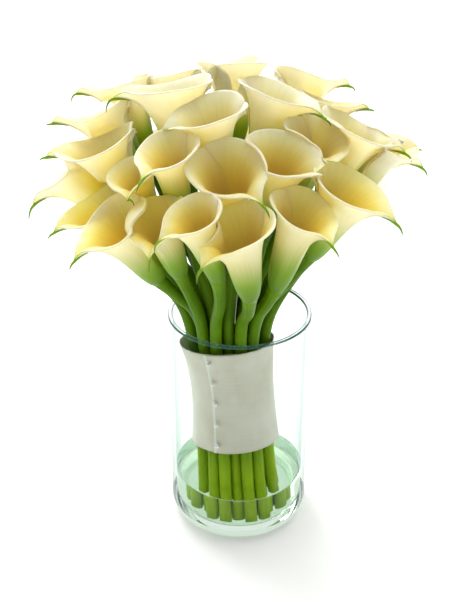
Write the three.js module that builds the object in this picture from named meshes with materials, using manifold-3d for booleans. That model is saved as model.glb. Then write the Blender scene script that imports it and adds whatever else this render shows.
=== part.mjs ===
// A hand-tied bouquet of calla lilies in a glass cylinder vase.
// Millimetres, +Z up. The origin is the middle of the vase's underside, and -Y is the front.
import * as THREE from 'three';
import { mergeVertices } from 'three/addons/utils/BufferGeometryUtils.js';
import Module from 'manifold-3d';

const wasm = await Module();
wasm.setup();

// ---- driving dimensions -------------------------------------------------------------------------

const CLEARANCE = 0.35;                 // between pieces that touch
const SLIVER = 0.02;                    // corners closer than this after a cut become one
const WATER_ROOM = 0.5;                 // between the water and the bundle of stems

const VASE_RADIUS = 60;
const VASE_HEIGHT = 200;
const VASE_WALL = 4;
const VASE_FLOOR = 12;                  // thick cast bottom
const VASE_HEEL = 14;                   // radius of the outer bottom corner
const VASE_INNER_CORNER = 8;
const UNDERSIDE_SEAM = 30;              // the facets of the flat underside meet this far off its middle
const WATER_LEVEL = 43;

const WAIST = new THREE.Vector3(-6, 2, 122);   // middle of the bouquet where the ribbon is tightest
const LEAN_LEFT = 3.6;                  // degrees that the bunch leans to the left
const LEAN_BACK = 11;                   // and away from the viewer
const STEM_RADIUS = 5.1;
const STEM_PITCH = 10.7;                // stems lie like rods in a bundle at the waist
const BUNDLE_TURN = 30;                 // degrees that the bundle's rings start past +X
const FEET_SPREAD = 1.12;               // how far the bundle opens at the cut ends
const COLLAR_SPREAD = 1.1;              // and where it leaves the ribbon,
const COLLAR_RISE = 50;                 // this far over the waist
const FEET_MIDDLE = new THREE.Vector3(0.5, -13, VASE_FLOOR + CLEARANCE + 1.2);
const STEM_SIDES = 6;
const RIM_PASS = VASE_HEIGHT + 3;       // height where the outer stems lean over the vase's rim
const RIM_REACH = VASE_RADIUS - VASE_WALL - STEM_RADIUS - 0.6;
const ROUND_SIDES = 36;                 // facets round the vase

const RIBBON_WIDTH = 90;
const RIBBON_THICKNESS = 0.8;
const RIBBON_RADIUS = 34.3;             // inside, at the waist
const RIBBON_FLARE_TOP = 5;
const RIBBON_FLARE_FOOT = 2.4;
const RIBBON_DRIFT = 2.6;               // its top edge stands this far over to the left
const RIBBON_SEAM = -117;               // degrees from +X where the outer end lies, at the front left
const RIBBON_LAP = 40;                  // degrees that the end laps over
const RIBBON_STEP = 1.5;                // the outer turn lies this much further out

const PIN_COUNT = 5;
const PIN_SPACING = 18.7;
const PIN_INSET = 6;                    // degrees from the ribbon's end
const PIN_HEAD = 2.1;
const PIN_SHANK = 0.5;

const TUBE_LENGTH = 56;                 // a bloom from the top of its stem to the middle of its mouth
const PETAL_THICKNESS = 0.9;
const LAP_ANGLE = Math.PI / 5;          // each margin of the petal runs this far past the back
const LAP_OFFSET = 0.75;                // the outer margin lies this much further out, the inner less
const FOOT_RADIUS = 3.6;                // where the petal leaves the stem
const TUBE_RADIUS = 16.5;               // the rolled funnel half way up
const EDGE_WAVE = 1.2;                  // how much the rolled edge rises and falls
const TIP_DROP = 16;
const PRESS_ROOM = 1.8;                 // left between two blooms that crowd each other
const SPADIX_LENGTH = 34;
const SPADIX_RADIUS = 2.6;

// The rolled margin of one bloom, from the tip round to the lapped back:
// share of the half turn, towards the tip, sideways, and up from the stem.
const MARGIN = [
  [0.00, 52, 0, 43],
  [0.04, 43, 1.3, 49],
  [0.13, 35, 7, 54],
  [0.28, 25, 18, 57],
  [0.46, 8, 27, 59],
  [0.64, -12, 26, 61.5],
  [0.80, -25, 14, 63],
  [0.92, -27.5, -1, 61.5],
  [1.00, -25, -10, 55],
];

// Each bloom: where the middle of its mouth is (x, y, z), how many degrees it leans out of the
// bunch and how far that lean is turned aside, which way its tip points (0 to the front, 90 to the
// right), its size, how much longer its neck is, and how far the tip hangs (+) or lifts (-). Each
// ring is listed anticlockwise as seen from above.
const OUTER_RING = [
  [117, 66, 320, 36, -8, 88, 0.90, 0, -0.8],
  [98, 92, 285, 30, 0, 130, 1.00, 0, 0],
  [52, 118, 305, 25, 0, 150, 1.00, 0, 0],
  [-64, 130, 298, 28, 0, -155, 1.00, 0, 0],
  [-111, 94, 291, 30, 0, -125, 1.00, 0, 0],
  [-137, 50, 303, 36, 5, -80, 1.05, 0, -0.6],
  [-109, 0, 291, 32, 8, -80, 1.00, 4, -0.9],
  [-62, -48, 303, 27, 0, -15, 0.82, 8, 0.2],
  [-33, -79, 320, 30, -16, -65, 0.72, 24, 0.0],
  [-2, -78, 309, 22, -22, -45, 0.93, 9, 0.2],
  [45, -56, 313, 26, 9, 40, 0.88, 20, -0.2],
  [113, 28, 333, 32, -12, 120, 0.88, 0, -1.0],
];
const SECOND_RING = [
  [68, 63, 355, 22, -10, 90, 0.80, 0, -1.3],
  [53, 96, 366, 16, 0, 110, 0.95, 0, -0.8],
  [-5, 126, 316, 22, 0, 180, 1.00, 0, 0],
  [-58, 97, 366, 6, 0, -120, 0.95, 0, -0.7],
  [-113, 63, 344, 22, 0, -90, 0.93, 0, -1.5],
  [-109, 24, 331, 24, 6, -95, 1.05, 0, -1.4],
  [-93, -42, 296, 34, 0, -58, 0.97, 6, -0.6],
  [-54, -32, 350, 21, 8, -32, 0.82, 4, -0.3],
  [-11, -43, 340, 30, -9, 36, 1.00, 6, -0.2],
  [29, -26, 345, 28, -12, 72, 0.97, 4, -0.1],
  [80, -27, 319, 32, 0, 72, 1.05, 4, -0.3],
  [88, 23, 347, 26, -8, 82, 1.02, 0, -0.6],
];
const INNER_RING = [
  [26, 34, 373, 14, 0, 60, 1.03, 0, -0.2],
  [-6, 74, 381, 4, 0, 150, 1.00, 0, -1],
  [-97, 83, 361, 16, 8, -92, 0.90, 0, -1.3],
  [-82, -13, 326, 22, 10, -10, 0.72, 4, 0],
  [-23, -4, 371, 15, 0, -72, 0.95, 0, 0.1],
  [57, 6, 348, 24, -16, 24, 0.90, 0, 0],
];
const MIDDLE_BLOOM = [-53, 34, 375, 5, 0, -82, 1.09, 0, -0.7];

const material = (color, roughness, extra = {}) =>
  new THREE.MeshStandardMaterial({ color, roughness, metalness: 0, ...extra });

// ---- the bunch's own axes -----------------------------------------------------------------------

const radians = THREE.MathUtils.degToRad;
const along = (from, ...moves) => {
  const point = from.clone();
  for (const [direction, distance] of moves) point.addScaledVector(direction, distance);
  return point;
};
const BUNCH_UP = new THREE.Vector3(-Math.tan(radians(LEAN_LEFT)), Math.tan(radians(LEAN_BACK)), 1).normalize();
const BUNCH_RIGHT = along(new THREE.Vector3(1, 0, 0), [BUNCH_UP, -BUNCH_UP.x]).normalize();
const BUNCH_BACK = new THREE.Vector3().crossVectors(BUNCH_UP, BUNCH_RIGHT);

// ---- closed bodies from grids -------------------------------------------------------------------

function closedBody(points, triangles) {
  const geometry = new THREE.BufferGeometry().setFromPoints(points);
  geometry.setIndex(triangles);
  if (volumeOf(geometry) < 0) {
    for (let i = 0; i < triangles.length; i += 3) {
      [triangles[i + 1], triangles[i + 2]] = [triangles[i + 2], triangles[i + 1]];
    }
    geometry.setIndex(triangles);
  }
  return geometry;
}

function volumeOf(geometry) {
  const corner = [new THREE.Vector3(), new THREE.Vector3(), new THREE.Vector3()];
  const index = geometry.index.array;
  let volume = 0;
  for (let i = 0; i < index.length; i += 3) {
    corner.forEach((v, k) => v.fromBufferAttribute(geometry.attributes.position, index[i + k]));
    volume += corner[0].dot(corner[1].cross(corner[2])) / 6;
  }
  return volume;
}

// A sheet between two grids of points with the same rows and columns, closed along its edges.
function sheetBody(outside, inside) {
  const rows = outside.length;
  const columns = outside[0].length;
  const at = (side, row, column) => (side * rows + row) * columns + column;
  const triangles = [];
  const quad = (a, b, c, d) => triangles.push(a, b, c, a, c, d);
  for (let row = 0; row + 1 < rows; row += 1) {
    for (let column = 0; column + 1 < columns; column += 1) {
      quad(at(0, row, column), at(0, row, column + 1), at(0, row + 1, column + 1), at(0, row + 1, column));
      quad(at(1, row, column), at(1, row + 1, column), at(1, row + 1, column + 1), at(1, row, column + 1));
    }
    quad(at(0, row + 1, 0), at(1, row + 1, 0), at(1, row, 0), at(0, row, 0));
    quad(at(0, row, columns - 1), at(1, row, columns - 1), at(1, row + 1, columns - 1), at(0, row + 1, columns - 1));
  }
  for (let column = 0; column + 1 < columns; column += 1) {
    quad(at(0, 0, column), at(1, 0, column), at(1, 0, column + 1), at(0, 0, column + 1));
    const last = rows - 1;
    quad(at(0, last, column + 1), at(1, last, column + 1), at(1, last, column), at(0, last, column));
  }
  return closedBody([...outside.flat(), ...inside.flat()], triangles);
}

// A round limb along a list of centres, with a radius at each.
function limbBody(centres, radii, sides) {
  const points = [];
  const triangles = [];
  let across = BUNCH_RIGHT.clone();
  centres.forEach((centre, i) => {
    const ahead = centres[Math.min(i + 1, centres.length - 1)].clone();
    const forward = ahead.sub(centres[Math.max(i - 1, 0)]).normalize();
    across = along(across, [forward, -across.dot(forward)]).normalize();
    const other = new THREE.Vector3().crossVectors(forward, across);
    for (let k = 0; k < sides; k += 1) {
      const angle = (k / sides) * 2 * Math.PI;
      points.push(along(centre, [across, Math.cos(angle) * radii[i]], [other, Math.sin(angle) * radii[i]]));
    }
  });
  for (let i = 0; i + 1 < centres.length; i += 1) {
    for (let k = 0; k < sides; k += 1) {
      const next = (k + 1) % sides;
      const [a, b] = [i * sides + k, i * sides + next];
      triangles.push(a, b, b + sides, a, b + sides, a + sides);
    }
  }
  const last = (centres.length - 1) * sides;
  for (let k = 1; k + 1 < sides; k += 1) {
    triangles.push(0, k + 1, k, last, last + k, last + k + 1);
  }
  return closedBody(points, triangles);
}

// ---- joining and cutting ------------------------------------------------------------------------

function toSolid(geometry) {
  let bare = geometry.clone();
  bare.deleteAttribute('normal');
  bare.deleteAttribute('uv');
  bare = mergeVertices(bare, 1e-4);
  return new wasm.Manifold(new wasm.Mesh({
    numProp: 3,
    vertProperties: new Float32Array(bare.attributes.position.array),
    triVerts: new Uint32Array(bare.index.array),
  }));
}

function toGeometry(solid) {
  const mesh = solid.getMesh();
  const geometry = new THREE.BufferGeometry();
  geometry.setAttribute('position', new THREE.BufferAttribute(new Float32Array(mesh.vertProperties), 3));
  geometry.setIndex([...mesh.triVerts]);
  const tidy = mergeVertices(geometry, SLIVER);
  const corners = [...tidy.index.array];
  const kept = corners.filter((_, i) => {
    const [a, b, c] = corners.slice(i - (i % 3), i - (i % 3) + 3);
    return a !== b && b !== c && c !== a;
  });
  tidy.setIndex(kept);
  return tidy;
}

const largestPiece = (solid) =>
  solid.decompose().reduce((best, piece) => (piece.volume() > best.volume() ? piece : best));

// ---- where each stem runs -----------------------------------------------------------------------

// Places in a bundle of rods, ring by ring, in pitches; the six corners of the third ring are empty.
const polar = (radius, degrees) => [
  radius * Math.cos(radians(degrees + BUNDLE_TURN)),
  radius * Math.sin(radians(degrees + BUNDLE_TURN)),
];
const SIXTHS = [0, 60, 120, 180, 240, 300];
const THIRD_RING_TURN = THREE.MathUtils.radToDeg(Math.atan2(Math.sqrt(3) / 2, 2.5));
const PLACES = {
  inner: SIXTHS.map((turn) => polar(1, turn)),
  second: SIXTHS.flatMap((turn) => [polar(2, turn), polar(Math.sqrt(3), turn + 30)]),
  outer: SIXTHS.flatMap((turn) => [
    polar(Math.sqrt(7), turn - THIRD_RING_TURN),
    polar(Math.sqrt(7), turn + THIRD_RING_TURN),
  ]),
};

const inBundle = (middle, place, spread) =>
  along(middle, [BUNCH_RIGHT, place[0] * STEM_PITCH * spread], [BUNCH_BACK, place[1] * STEM_PITCH * spread]);

function bloomOf([x, y, z, lean, twist, heading, size, neck, droop], place) {
  const mouth = new THREE.Vector3(x, y, z);
  const outward = mouth.clone().sub(WAIST);
  outward.projectOnPlane(BUNCH_UP).normalize().applyAxisAngle(BUNCH_UP, radians(twist));
  const up = along(new THREE.Vector3(), [BUNCH_UP, Math.cos(radians(lean))], [outward, Math.sin(radians(lean))]);
  const toTip = new THREE.Vector3(Math.sin(radians(heading)), -Math.cos(radians(heading)), 0);
  toTip.addScaledVector(up, -toTip.dot(up)).normalize();
  const side = new THREE.Vector3().crossVectors(up, toTip);
  const base = along(mouth, [up, -TUBE_LENGTH * size - neck]);
  return { mouth, base, up, toTip, side, size, neck: neck / size, droop, place, phase: x };
}

function stemCentres(bloom) {
  const foot = inBundle(FEET_MIDDLE, bloom.place, FEET_SPREAD);
  foot.z = FEET_MIDDLE.z;
  const waist = inBundle(WAIST, bloom.place, 1);
  const collar = inBundle(along(WAIST, [BUNCH_UP, COLLAR_RISE]), bloom.place, COLLAR_SPREAD);
  const rise = collar.clone().sub(waist).normalize();
  const share = (RIM_PASS - collar.z) / (bloom.base.z - collar.z);
  const rim = collar.clone().lerp(bloom.base, share * 0.5);
  rim.z = 0;
  rim.clampLength(0, RIM_REACH).setZ(RIM_PASS);
  const outward = bloom.base.clone().sub(rim).normalize().add(rim.clone().sub(collar).normalize()).normalize();
  const reach = bloom.base.distanceTo(rim);
  const lower = new THREE.CubicBezierCurve3(
    foot, along(foot, [BUNCH_UP, 35]), along(waist, [rise, -40]), waist);
  const upper = new THREE.CubicBezierCurve3(
    rim, along(rim, [outward, reach * 0.35]), along(bloom.base, [bloom.up, -reach * 0.35]), bloom.base);
  const top = along(bloom.base, [bloom.up, 4]);
  return [...lower.getPoints(2), collar, ...upper.getPoints(2), top];
}

const BLOOMS = [
  ...OUTER_RING.map((row, i) => bloomOf(row, PLACES.outer[i])),
  ...SECOND_RING.map((row, i) => bloomOf(row, PLACES.second[i])),
  ...INNER_RING.map((row, i) => bloomOf(row, PLACES.inner[i])),
  bloomOf(MIDDLE_BLOOM, [0, 0]),
].sort((a, b) => a.mouth.y - b.mouth.y);

// ---- the petal of one bloom ---------------------------------------------------------------------

// A smooth curve through the margin's points, one coordinate at a time.
function marginAt(share) {
  const last = MARGIN.length - 1;
  let i = 0;
  while (i < last - 1 && MARGIN[i + 1][0] < share) i += 1;
  const [from, to] = [MARGIN[i], MARGIN[i + 1]];
  const before = MARGIN[i - 1] ?? from.map((value, k) => 2 * value - to[k]);
  const after = MARGIN[i + 2] ?? to.map((value, k) => 2 * value - from[k]);
  const span = to[0] - from[0];
  const u = (share - from[0]) / span;
  return [1, 2, 3].map((k) => {
    const leaving = ((to[k] - before[k]) / (to[0] - before[0])) * span;
    const arriving = ((after[k] - from[k]) / (after[0] - from[0])) * span;
    return (2 * u ** 3 - 3 * u ** 2 + 1) * from[k] + (u ** 3 - 2 * u ** 2 + u) * leaving
      + (3 * u ** 2 - 2 * u ** 3) * to[k] + (u ** 3 - u ** 2) * arriving;
  });
}

// A point of the petal before its margins lap. turn runs from -1 at one margin, over 0 at the tip,
// to 1 at the other; rise runs from 0 on the stem to 1 at the rolled edge.
function petalPoint(bloom, turn, rise) {
  const angle = turn * (Math.PI + LAP_ANGLE);
  const tipness = Math.exp(-((turn / 0.3) ** 2));
  const around = (radius, swing, height) => [radius * Math.cos(swing), radius * Math.sin(swing), height];
  const [x, y, z] = marginAt(Math.abs(turn));
  const edge = [
    x,
    Math.sign(turn) * y,
    z + EDGE_WAVE * Math.sin(3 * Math.PI * turn + bloom.phase) * Math.min(1, 3 * Math.abs(turn))
      - TIP_DROP * bloom.droop * tipness + bloom.neck,
  ];
  const controls = [
    around(FOOT_RADIUS, angle, 0),
    around(TUBE_RADIUS, angle, 15 + bloom.neck / 2),
    around(TUBE_RADIUS - 1.5 - 2 * tipness, angle * 0.97, 46 + bloom.neck + 12 * tipness),
    edge,
  ];
  const weights = [(1 - rise) ** 3, 3 * rise * (1 - rise) ** 2, 3 * rise ** 2 * (1 - rise), rise ** 3];
  const [tip, side, up] = [0, 1, 2].map((k) => controls.reduce((sum, c, i) => sum + weights[i] * c[k], 0));
  return along(bloom.base, [bloom.toTip, tip * bloom.size], [bloom.side, side * bloom.size],
    [bloom.up, up * bloom.size]);
}

// Where blooms crowd each other, the one behind bends round the funnel of the one in front.
// towardsTip is 1 on the side of its tip.
function funnelRadius(height, towardsTip) {
  const flare = 9.5 + 13 * Math.max(0, towardsTip) ** 8;
  if (height < -8 || height > TUBE_LENGTH + 16) return 0;
  if (height < 22) return STEM_RADIUS + 11.5 * Math.sin((Math.PI / 2) * (height + 8) / 30);
  if (height < TUBE_LENGTH + 4) return 17.5 + flare * ((height - 22) / 38) ** 3;
  return (17.5 + flare) * Math.sqrt(1 - ((height - TUBE_LENGTH - 4) / 12) ** 2);
}

function pressed(point, bloom) {
  const moved = point.clone();
  for (const other of BLOOMS.slice(0, BLOOMS.indexOf(bloom))) {
    const apart = bloom.mouth.clone().sub(other.mouth).projectOnPlane(other.up).normalize();
    const across = new THREE.Vector3().crossVectors(other.up, apart);
    const from = moved.clone().sub(other.base);
    const above = from.dot(other.up);
    const height = above - other.neck * other.size * Math.min(1, Math.max(0, above / 30));
    const distance = from.dot(apart);
    const aside = from.dot(across);
    const facing = along(new THREE.Vector3(), [apart, Math.abs(distance)], [across, aside]).normalize();
    const room = funnelRadius(height / other.size, facing.dot(other.toTip)) * other.size + PRESS_ROOM;
    if (room === PRESS_ROOM || Math.abs(aside) > room) continue;
    moved.addScaledVector(apart, Math.max(0, Math.sqrt(room ** 2 - aside ** 2) - distance));
  }
  return moved;
}

function petalFaces(bloom, turns, rises, thickness, room = 0) {
  const surface = (turn, rise) => pressed(petalPoint(bloom, turn, rise), bloom);
  const step = 0.01;
  const face = (depth) => rises.map((rise) => turns.map((turn) => {
    const sideways = surface(turn + step, rise).sub(surface(turn - step, rise));
    const upwards = surface(turn, Math.min(rise + step, 1)).sub(surface(turn, Math.max(rise - step, 0)));
    const normal = sideways.cross(upwards).normalize();
    return along(surface(turn, rise), [normal, depth + LAP_OFFSET * turn * (1 + 1.5 * rise)]);
  }));
  return sheetBody(face(room), face(-thickness - room));
}
// ---- the bouquet's solids -----------------------------------------------------------------------

const steps = (count, from, to) =>
  Array.from({ length: count + 1 }, (_, i) => from + ((to - from) * i) / count);
const PETAL_TURNS = steps(12, -1, 1);
const PETAL_RISES = [0, 0.4, 0.78, 1];
const NEAR_TURNS = [-1.01, ...PETAL_TURNS, 1.01];
const NEAR_RISES = [...PETAL_RISES, 1.02];

const stemSolid = (bloom, room = 0) => {
  const centres = stemCentres(bloom);
  return toSolid(limbBody(centres, centres.map(() => STEM_RADIUS + room), STEM_SIDES));
};

function spadixSolid({ base, up, size }) {
  const centres = [2, SPADIX_LENGTH - 4, SPADIX_LENGTH].map((height) => along(base, [up, height * size]));
  return toSolid(limbBody(centres, [0.9, 1, 0.4].map((share) => SPADIX_RADIUS * share), 5));
}

// A petal that still meets a neighbour is cut back to stay clear of it.
function flowerSolids() {
  const stems = BLOOMS.map((bloom) => ({ solid: stemSolid(bloom), near: stemSolid(bloom, CLEARANCE) }));
  const petals = [];
  return BLOOMS.map((bloom, i) => {
    const petal = {
      solid: toSolid(petalFaces(bloom, PETAL_TURNS, PETAL_RISES, PETAL_THICKNESS)),
      near: toSolid(petalFaces(bloom, NEAR_TURNS, NEAR_RISES, PETAL_THICKNESS, CLEARANCE)),
    };
    const met = [...petals, ...stems.filter((_, k) => k !== i)]
      .filter((other) => petal.solid.intersect(other.solid).volume() > 0);
    petals.push(petal);
    const cut = met.reduce((left, other) => left.subtract(other.near).subtract(other.solid), petal.solid);
    return largestPiece(stems[i].solid.add(cut).add(spadixSolid(bloom)));
  });
}

// ---- vase, water, ribbon and pins ---------------------------------------------------------------

const arc = (x, y, radius, from, to, count) => steps(count, from, to).map((angle) =>
  new THREE.Vector2(x + radius * Math.cos(radians(angle)), y + radius * Math.sin(radians(angle))));

function vaseGeometry() {
  const inner = VASE_RADIUS - VASE_WALL;
  const lip = VASE_WALL / 2;
  const vase = new THREE.LatheGeometry([
    new THREE.Vector2(0, 0),
    ...arc(VASE_RADIUS - VASE_HEEL, VASE_HEEL, VASE_HEEL, -90, 0, 3),
    ...arc(VASE_RADIUS - lip, VASE_HEIGHT - lip, lip, 0, 180, 3),
    ...arc(inner - VASE_INNER_CORNER, VASE_FLOOR + VASE_INNER_CORNER, VASE_INNER_CORNER, 0, -90, 2),
    new THREE.Vector2(0, VASE_FLOOR),
  ], ROUND_SIDES).rotateX(Math.PI / 2);
  // The middle of the underside, where the part is set down, lies inside one facet.
  const seam = radians(180 + 180 / ROUND_SIDES);
  const { position } = vase.attributes;
  for (let i = 0; i < position.count; i += 1) {
    if (Math.hypot(position.getX(i), position.getY(i), position.getZ(i)) < SLIVER) {
      position.setXYZ(i, UNDERSIDE_SEAM * Math.cos(seam), UNDERSIDE_SEAM * Math.sin(seam), 0);
    }
  }
  return vase;
}

function waterGeometry() {
  const radius = VASE_RADIUS - VASE_WALL - CLEARANCE;
  const floor = VASE_FLOOR + CLEARANCE;
  const body = toSolid(new THREE.LatheGeometry([
    new THREE.Vector2(0, floor),
    ...arc(radius - VASE_INNER_CORNER, floor + VASE_INNER_CORNER, VASE_INNER_CORNER, -90, 0, 2),
    new THREE.Vector2(radius, WATER_LEVEL),
    new THREE.Vector2(0, WATER_LEVEL),
  ], ROUND_SIDES).rotateX(Math.PI / 2));
  const middles = [
    along(FEET_MIDDLE, [BUNCH_UP, -15]),
    along(FEET_MIDDLE, [BUNCH_UP, WATER_LEVEL]),
  ];
  const bundle = Math.sqrt(7) * STEM_PITCH * FEET_SPREAD + STEM_RADIUS + WATER_ROOM;
  return toGeometry(body.subtract(toSolid(limbBody(middles, [bundle, bundle], 24))));
}

// The ribbon winds once round the stems and laps over its own start. sweep is in degrees from its
// inner end, and height runs from -1 at the foot to 1 at the top edge.
function ribbonPoint(sweep, height, depth) {
  const angle = radians(RIBBON_SEAM + 360 + RIBBON_LAP - sweep);
  const flare = (height > 0 ? RIBBON_FLARE_TOP : RIBBON_FLARE_FOOT) * height ** 2;
  const radius = RIBBON_RADIUS + flare + (RIBBON_STEP * sweep) / 360 + depth;
  const drift = RIBBON_DRIFT * Math.max(0, height) ** 2;
  return along(WAIST, [BUNCH_UP, (height * RIBBON_WIDTH) / 2],
    [BUNCH_RIGHT, radius * Math.cos(angle) - drift], [BUNCH_BACK, radius * Math.sin(angle)]);
}

const pinHeight = (i) => ((i - (PIN_COUNT - 1) / 2) * PIN_SPACING * 2) / RIBBON_WIDTH;
const PIN_SWEEP = 360 + RIBBON_LAP - PIN_INSET;

const pinLimb = (i, from, to, radius) => toSolid(limbBody(
  [ribbonPoint(PIN_SWEEP, pinHeight(i), from), ribbonPoint(PIN_SWEEP, pinHeight(i), to)],
  [radius, radius], 6));

function ribbonGeometry() {
  const sweeps = steps(28, 0, 360 + RIBBON_LAP);
  const face = (depth) => steps(3, -1, 1).map((height) =>
    sweeps.map((sweep) => ribbonPoint(sweep, height, depth)));
  let ribbon = toSolid(sheetBody(face(RIBBON_THICKNESS), face(0)));
  for (let i = 0; i < PIN_COUNT; i += 1) {
    ribbon = ribbon.subtract(pinLimb(i, -0.3, RIBBON_THICKNESS + 1, PIN_SHANK + CLEARANCE));
  }
  return toGeometry(ribbon);
}

function pinGeometry(i) {
  const head = new THREE.SphereGeometry(PIN_HEAD, 8, 5);
  const seat = RIBBON_THICKNESS + CLEARANCE + PIN_HEAD;
  head.translate(...ribbonPoint(PIN_SWEEP, pinHeight(i), seat).toArray());
  return toGeometry(toSolid(head).add(pinLimb(i, -0.2, seat, PIN_SHANK)));
}

// ---- the scene ----------------------------------------------------------------------------------

const bouquet = new THREE.Group();

function addPiece(name, geometry, surface) {
  geometry.computeVertexNormals();
  const mesh = new THREE.Mesh(geometry, surface);
  mesh.name = name;
  bouquet.add(mesh);
}

addPiece('vase', vaseGeometry(), material('#dfeeea', 0.03, { transparent: true, opacity: 0.3 }));
addPiece('water', waterGeometry(), material('#e3efe2', 0.02, { transparent: true, opacity: 0.4 }));
addPiece('ribbon', ribbonGeometry(), material('#e2d6c1', 0.42));
for (let i = 0; i < PIN_COUNT; i += 1) {
  addPiece(`pin_${i + 1}`, pinGeometry(i), material('#f1eee6', 0.15));
}
flowerSolids().forEach((solid, i) => {
  const number = String(i + 1).padStart(2, '0');
  addPiece(`flower_${number}`, toGeometry(solid), material('#f2e6b8', 0.55));
});

export default bouquet;
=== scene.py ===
# A hand-tied bouquet of calla lilies in a glass cylinder vase.
import math

import bpy
import numpy as np
from mathutils import Matrix


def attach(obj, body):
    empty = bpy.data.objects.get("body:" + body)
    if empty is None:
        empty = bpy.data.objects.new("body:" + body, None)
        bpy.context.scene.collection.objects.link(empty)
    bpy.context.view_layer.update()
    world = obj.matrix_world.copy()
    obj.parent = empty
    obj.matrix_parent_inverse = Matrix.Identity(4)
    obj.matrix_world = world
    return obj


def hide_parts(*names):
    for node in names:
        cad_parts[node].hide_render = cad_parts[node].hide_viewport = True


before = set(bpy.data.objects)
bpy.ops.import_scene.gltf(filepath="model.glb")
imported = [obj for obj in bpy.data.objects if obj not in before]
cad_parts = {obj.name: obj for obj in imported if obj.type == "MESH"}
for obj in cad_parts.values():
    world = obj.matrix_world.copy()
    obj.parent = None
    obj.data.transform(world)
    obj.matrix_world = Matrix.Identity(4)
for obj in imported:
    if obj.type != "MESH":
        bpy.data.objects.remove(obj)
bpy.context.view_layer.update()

MM = 0.001

# ---- sizes: lengths in millimetres, turns in degrees --------------------------------------------

VASE_RADIUS = 60
VASE_HEIGHT = 200
VASE_WALL = 4
VASE_FLOOR = 12
VASE_HEEL = 14
VASE_INNER_CORNER = 8
RIM_ROUNDING = 0.46
EDGE_SUPPORT = 1
WATER_LEVEL = 43
MENISCUS = 1.2
# Each step in from the glass, and how far it drops as a factor of the meniscus.
MENISCUS_STEPS = ((0.4, 0.6), (0.6, 0.35), (1.0, 0.25), (1.0, 0.0))
WATER_OVERLAP = 0.03

WAIST = np.array([-6.0, 2.0, 122.0])
LEAN_LEFT = 3.6
LEAN_BACK = 11
STEM_RADIUS = 5.1
STEM_PITCH = 10.7
STEM_WAVE = 0.02
STEM_WAVES = 17
STEM_IN_BLOOM = 4
FOOT_STRETCH = 35
WAIST_STRETCH = 40
BEND_SHARE = 0.35
CUT_BEVEL = 0.003
CUT_WIDTH = 0.93
NECK_SWELL = 1.8
NECK_START = 0.89
NECK_SPAN = 0.10
NECK_CURVE = 2.2
BUNDLE_TURN = 30
FEET_SPREAD = 1.12
COLLAR_SPREAD = 1.1
COLLAR_RISE = 50
FEET_MIDDLE = np.array([0.5, -13.0, 13.55])
RIM_PASS = 203
RIM_REACH = 50.3

RIBBON_WIDTH = 90
RIBBON_THICKNESS = 0.8
RIBBON_EDGE = 0.15
RIBBON_RADIUS = 34.3
RIBBON_FLARE_TOP = 5
RIBBON_FLARE_FOOT = 2.4
RIBBON_DRIFT = 2.6
RIBBON_SEAM = -117
RIBBON_LAP = 40
RIBBON_STEP = 1.5
RIDGE_TURN = 365
RIDGE_SLANT = 3
RIDGE_WIDTH = 1.8
RIDGE_HEIGHT = 0.35
PIN_COUNT = 5
PIN_SPACING = 18.7
PIN_INSET = 6
PIN_HEAD = 2.1
PIN_SEAT = 3.25
# Under a head of radius 1: its collar's length and narrowing, and the shank's length.
PIN_COLLAR = 0.15
PIN_NARROWING = (0.45, 0.45, 0.2)
PIN_SHANK = 0.9
PIN_UNDERSIDE = -0.93
PIN_STEEL_TOP = -0.98

TUBE_LENGTH = 56
PETAL_THICKNESS = 0.9
EDGE_THINNING = 0.8
THINNEST = 0.3
LAP_ANGLE = 36
LAP_OFFSET = 0.45
LAP_WIDENING = 0.4
FOOT_RADIUS = 5.2
FOOT_SINK = 4
BELLY_RADIUS = 16.5
BELLY_HEIGHT = 7
BELLY_NECK_SHARE = 0.5
THROAT_RADIUS = 10.5
THROAT_HEIGHT = 46
THROAT_TURN = 0.97
THROAT_TIP_NARROWING = 2
THROAT_TIP_RISE = 12
EDGE_WAVE = 1.2
EDGE_WAVES = 3
TIP_WIDTH = 0.3
TIP_DROP = 16
LIP_START = 0.86
LIP_RADIUS = 0.9
LIP_CURL = 1.9
LIP_TIP_WIDTH = 0.2
LIP_TIP_NARROWING = 0.8
TAIL_LENGTH = 7.5
TAIL_RADIUS = 1.1
TAIL_ROOT = 0.74
TAIL_SEAT_RINGS = 6
TAIL_SHORTENING = 0.35
TAIL_HANG = 0.85
TAIL_BEND = 1.7
TAIL_TAPER = 0.8
TAIL_POINT = 0.14
CROWD_NEAR = 14
CROWD_REACH = 34
CROWD_AHEAD = 10
CROWD_CURVE = 1.5
CROWD_AXIS_START = 0.15
SPADIX_LENGTH = 34
SPADIX_RADIUS = 2.6
SPADIX_FOOT = 2
SPADIX_LEAN = 2.0
SPADIX_WIDEST = 0.25
SPADIX_POINT = 0.2

# The room that one bloom takes from those behind it, by the height over its stem.
ROOM_GAP = 1.8
ROOM_FOOT = -8
ROOM_BELLY = 22
ROOM_MOUTH = 60
ROOM_TOP = 72
ROOM_NECK = 30
ROOM_RADIUS = 17.5
ROOM_SWELL = 11.5
ROOM_FLARE = 9.5
ROOM_TIP_FLARE = 13

PETAL_COLUMNS = 96
PETAL_ROWS = 34
STEM_SIDES = 16
STEM_RINGS = 40
TAIL_SIDES = 8
TAIL_RINGS = 16
SPADIX_SIDES = 14
SPADIX_RINGS = 16
GLASS_SIDES = 144
HEEL_STEPS = 12
INNER_CORNER_STEPS = 8
RIM_STEPS = 6
RIBBON_COLUMNS = 260
RIBBON_ROWS = 30
TIP_CROWDING = 1.35
LIP_CROWDING = 1.25

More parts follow.
